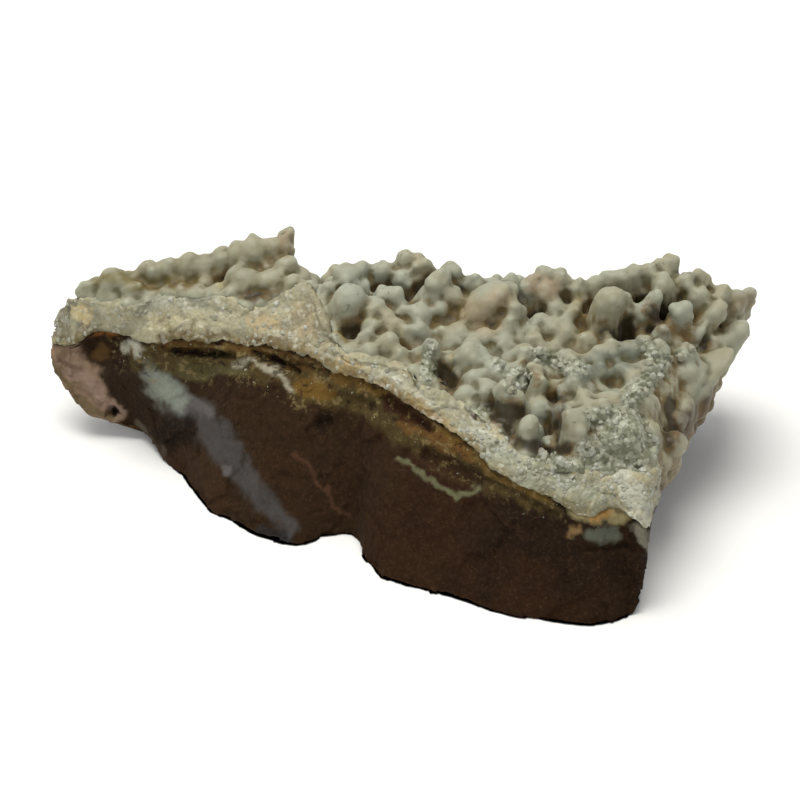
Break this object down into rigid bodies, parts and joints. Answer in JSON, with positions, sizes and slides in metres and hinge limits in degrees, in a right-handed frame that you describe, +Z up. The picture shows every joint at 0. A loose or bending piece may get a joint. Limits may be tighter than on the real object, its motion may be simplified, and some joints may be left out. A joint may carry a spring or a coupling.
{
  "type": "rough agate",
  "caption": "Broken hand specimen: a crust of grey chalcedony fingers and round lumps with a sugary quartz edge, grown on dark brown host rock that stands on a flat break",
  "frame": {"origin": "on the flat break that the stone stands on, under the middle of its length", "axes": "+X along the stone's length, to the right seen from its broken front; +Y to the back; +Z up from the base to the finger tips"},
  "size_m": [0.1248, 0.0726, 0.0379],
  "materials": {
    "host_rock": "rough, dull, dark brown with rusty and lilac-grey patches",
    "chalcedony": "waxy grey-green fingers, sparkling sugary quartz on the broken edge"
  },
  "bodies": {
    "root": {"matrix": "host_rock", "crust": "chalcedony"}
  },
  "joints": []
}
